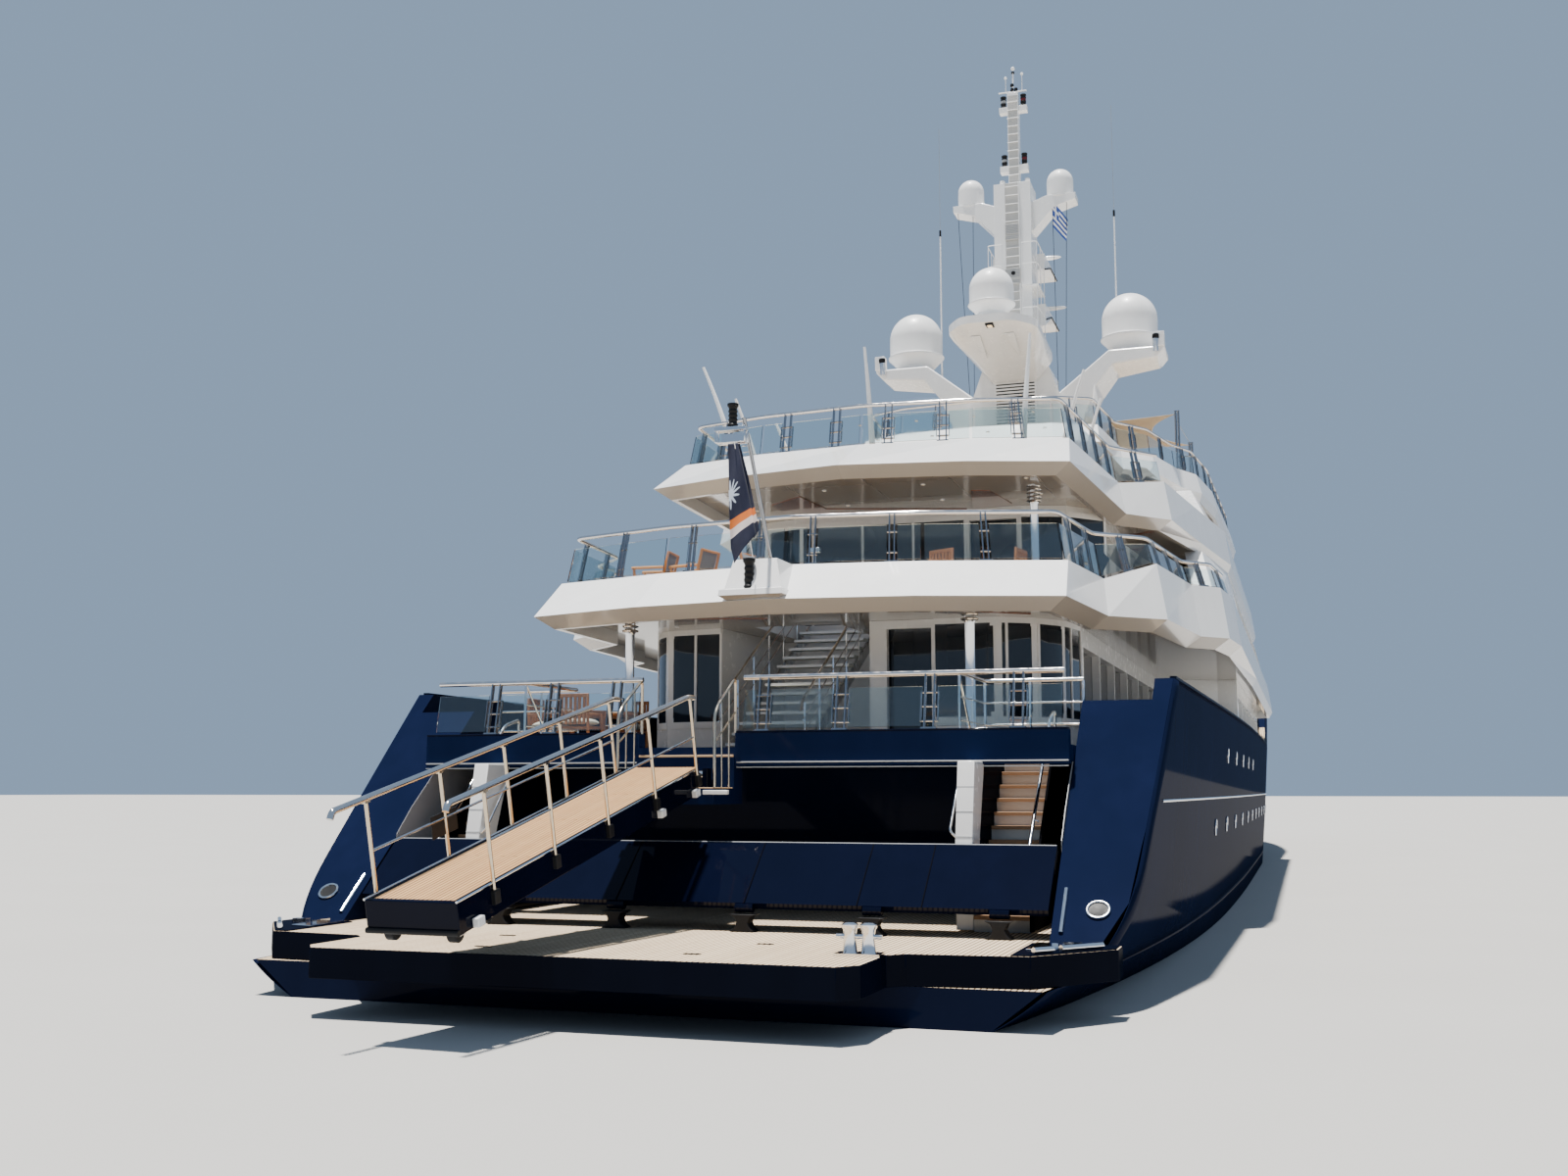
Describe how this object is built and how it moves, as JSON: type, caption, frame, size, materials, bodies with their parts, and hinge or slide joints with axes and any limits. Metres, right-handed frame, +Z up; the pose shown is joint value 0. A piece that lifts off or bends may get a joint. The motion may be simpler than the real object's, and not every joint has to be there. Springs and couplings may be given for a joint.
{
  "type": "motor yacht, 1:10 scale model",
  "caption": "Motor yacht afloat with a navy hull, stepped white decks, glazed houses, a mast with domes and a stern gangway, as a scale model.",
  "frame": {"origin": "amidships on the centreline, in the plane of the waterline", "axes": "+X to the bow along the waterline, +Y to port, +Z up"},
  "size_m": [8.2046, 1.33, 2.87],
  "materials": {
    "navy": "gloss",
    "white": "gloss",
    "teak": "satin",
    "steel": "polished",
    "glass": "gloss",
    "clear": "gloss",
    "dome": "satin",
    "canvas": "matte",
    "bronze": "satin",
    "flag": "matte",
    "black": "satin"
  },
  "bodies": {
    "yacht": {"hull": "navy", "swim_platform": "teak", "main_deck": "teak", "stern_stair_port": "white", "stern_stair_starboard": "white", "main_house": "white", "main_glazing": "glass", "upper_deck": "white", "upper_house": "white", "upper_glazing": "glass", "bridge_deck": "white", "bridge_house": "white", "bridge_glazing": "glass", "sun_deck": "white", "aft_stair": "steel", "main_column_port": "steel", "main_column_starboard": "steel", "upper_column_port": "steel", "upper_column_starboard": "steel", "upper_rail": "steel", "upper_rail_glass": "clear", "bridge_rail": "steel", "bridge_rail_glass": "clear", "sun_rail": "steel", "sun_rail_glass": "clear", "main_rail_port": "steel", "main_rail_starboard": "steel", "main_rail_glass_port": "clear", "main_rail_glass_starboard": "clear", "mast_house": "white", "mast": "white", "dome_platform": "white", "dome_wing_port": "white", "dome_wing_starboard": "white", "dome_centre": "dome", "dome_large_port": "dome", "dome_large_starboard": "dome", "dome_small_port": "dome", "dome_small_starboard": "dome", "ensign_staff": "steel", "ensign": "flag", "courtesy_flag": "flag", "shade_sail": "canvas", "anchor_port": "steel", "anchor_starboard": "steel", "windlass": "steel", "shaft_port": "steel", "shaft_starboard": "steel"},
    "transom_flap": {"transom_panel": "navy"},
    "main_door": {"saloon_door": "glass"},
    "lounge_door": {"upper_door": "glass"},
    "propeller_p": {"propeller_port": "bronze"},
    "propeller_s": {"propeller_starboard": "bronze"},
    "rudder_p": {"rudder_port": "navy"},
    "rudder_s": {"rudder_starboard": "navy"},
    "radar_low": {"radar_scanner_lower": "white"},
    "radar_high": {"radar_scanner_upper": "white"},
    "turntable": {"gangway_turntable": "navy"},
    "bridgeway": {"gangway": "teak"}
  },
  "joints": [
    {"name": "propeller_port_spin", "type": "hinge", "parent": "yacht", "child": "propeller_p", "pos_m": [-3.33, 0.26, -0.238], "axis": [1, 0, 0], "continuous": true},
    {"name": "propeller_starboard_spin", "type": "hinge", "parent": "yacht", "child": "propeller_s", "pos_m": [-3.33, -0.26, -0.238], "axis": [1, 0, 0], "continuous": true},
    {"name": "rudder_port_turn", "type": "hinge", "parent": "yacht", "child": "rudder_p", "pos_m": [-3.56, 0.26, -0.2], "axis": [0, 0, 1], "range_deg": [-35, 35]},
    {"name": "rudder_starboard_turn", "type": "hinge", "parent": "yacht", "child": "rudder_s", "pos_m": [-3.56, -0.26, -0.2], "axis": [0, 0, 1], "range_deg": [-35, 35]},
    {"name": "transom_panel_fold", "type": "hinge", "parent": "yacht", "child": "transom_flap", "pos_m": [-3.653, 0, 0.11], "axis": [0, -1, 0], "range_deg": [0, 120]},
    {"name": "saloon_door_slide", "type": "slide", "parent": "yacht", "child": "main_door", "axis": [0, -1, 0], "range_m": [0, 0.09]},
    {"name": "upper_door_slide", "type": "slide", "parent": "yacht", "child": "lounge_door", "axis": [0, 1, 0], "range_m": [0, 0.1]},
    {"name": "radar_scanner_lower_spin", "type": "hinge", "parent": "yacht", "child": "radar_low", "pos_m": [-0.78, 0, 1.77], "axis": [0, 0, 1], "continuous": true},
    {"name": "radar_scanner_upper_spin", "type": "hinge", "parent": "yacht", "child": "radar_high", "pos_m": [-0.8, 0, 1.93], "axis": [0, 0, 1], "continuous": true},
    {"name": "gangway_slew", "type": "hinge", "parent": "yacht", "child": "turntable", "pos_m": [-3.53, 0.059, 0.27], "axis": [0, 0, 1], "range_deg": [-5, 5]},
    {"name": "gangway_pitch", "type": "hinge", "parent": "turntable", "child": "bridgeway", "pos_m": [-3.56, 0.059, 0.28], "axis": [0.0523, 0.9986, 0], "range_deg": [-1.5, 25]}
  ]
}
